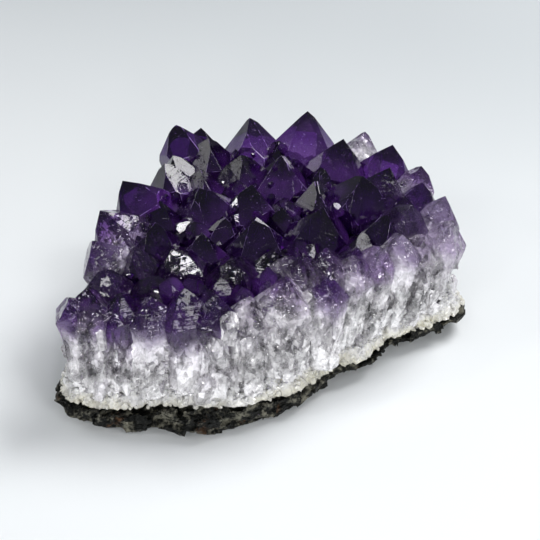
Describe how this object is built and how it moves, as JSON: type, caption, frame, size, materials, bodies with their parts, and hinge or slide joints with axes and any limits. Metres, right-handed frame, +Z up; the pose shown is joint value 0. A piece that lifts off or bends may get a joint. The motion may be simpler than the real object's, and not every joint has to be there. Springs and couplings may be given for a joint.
{
  "type": "amethyst cluster",
  "caption": "Slab of purple quartz crystals with pointed, six-sided tips, standing on a milky quartz bed with a thin rind of dark rock beneath.",
  "frame": {"origin": "middle of the piece's box, on the floor it rests on", "axes": "+Z up, -Y towards the long straight broken edge, +X along the piece's greatest width"},
  "size_m": [0.1326, 0.1184, 0.055],
  "materials": {
    "amethyst": "clear deep purple crystal with sharp polished natural faces, darker towards the tips",
    "pale_amethyst": "clear crystal, purple at the tip and fading to colourless at the foot, with stepped growth lines on the shank",
    "quartz": "milky, sugary quartz, with a faint green tint just above the rock",
    "basalt": "rough, dull, dark grey-green volcanic rock with brown patches"
  },
  "bodies": {
    "root": {"basalt_rind": "basalt", "crown_crystal_01": "amethyst", "crown_crystal_02": "amethyst", "crown_crystal_03": "amethyst", "crown_crystal_04": "amethyst", "crown_crystal_05": "amethyst", "crown_crystal_06": "amethyst", "crown_crystal_07": "amethyst", "crown_crystal_08": "amethyst", "crown_crystal_09": "amethyst", "crown_crystal_10": "amethyst", "crown_crystal_11": "amethyst", "crown_crystal_12": "amethyst", "crown_crystal_13": "amethyst", "crown_crystal_14": "amethyst", "crown_crystal_15": "amethyst", "crown_crystal_16": "amethyst", "crown_crystal_17": "amethyst", "crown_crystal_18": "amethyst", "crown_crystal_19": "amethyst", "crown_crystal_20": "amethyst", "crown_crystal_21": "amethyst", "crown_crystal_22": "amethyst", "crown_crystal_23": "amethyst", "crown_crystal_24": "amethyst", "crown_crystal_25": "amethyst", "crown_crystal_26": "amethyst", "crown_crystal_27": "amethyst", "crown_crystal_28": "amethyst", "crown_crystal_29": "amethyst", "quartz_bed": "quartz", "rim_crystal_01": "pale_amethyst", "rim_crystal_02": "pale_amethyst", "rim_crystal_03": "pale_amethyst", "rim_crystal_04": "pale_amethyst", "rim_crystal_05": "pale_amethyst", "rim_crystal_06": "pale_amethyst", "rim_crystal_07": "pale_amethyst", "rim_crystal_08": "pale_amethyst", "rim_crystal_09": "pale_amethyst", "rim_crystal_10": "pale_amethyst", "rim_crystal_11": "pale_amethyst", "rim_crystal_12": "pale_amethyst", "rim_crystal_13": "pale_amethyst", "rim_crystal_14": "pale_amethyst", "rim_crystal_15": "pale_amethyst", "rim_crystal_16": "pale_amethyst", "rim_crystal_17": "pale_amethyst", "rim_crystal_18": "pale_amethyst", "rim_crystal_19": "pale_amethyst", "rim_crystal_20": "pale_amethyst", "rim_crystal_21": "pale_amethyst", "rim_crystal_22": "pale_amethyst", "rim_crystal_23": "pale_amethyst", "rim_crystal_24": "pale_amethyst", "rim_crystal_25": "pale_amethyst", "rim_crystal_26": "pale_amethyst", "rim_crystal_27": "pale_amethyst", "rim_crystal_28": "pale_amethyst", "rim_crystal_29": "pale_amethyst"}
  },
  "joints": []
}
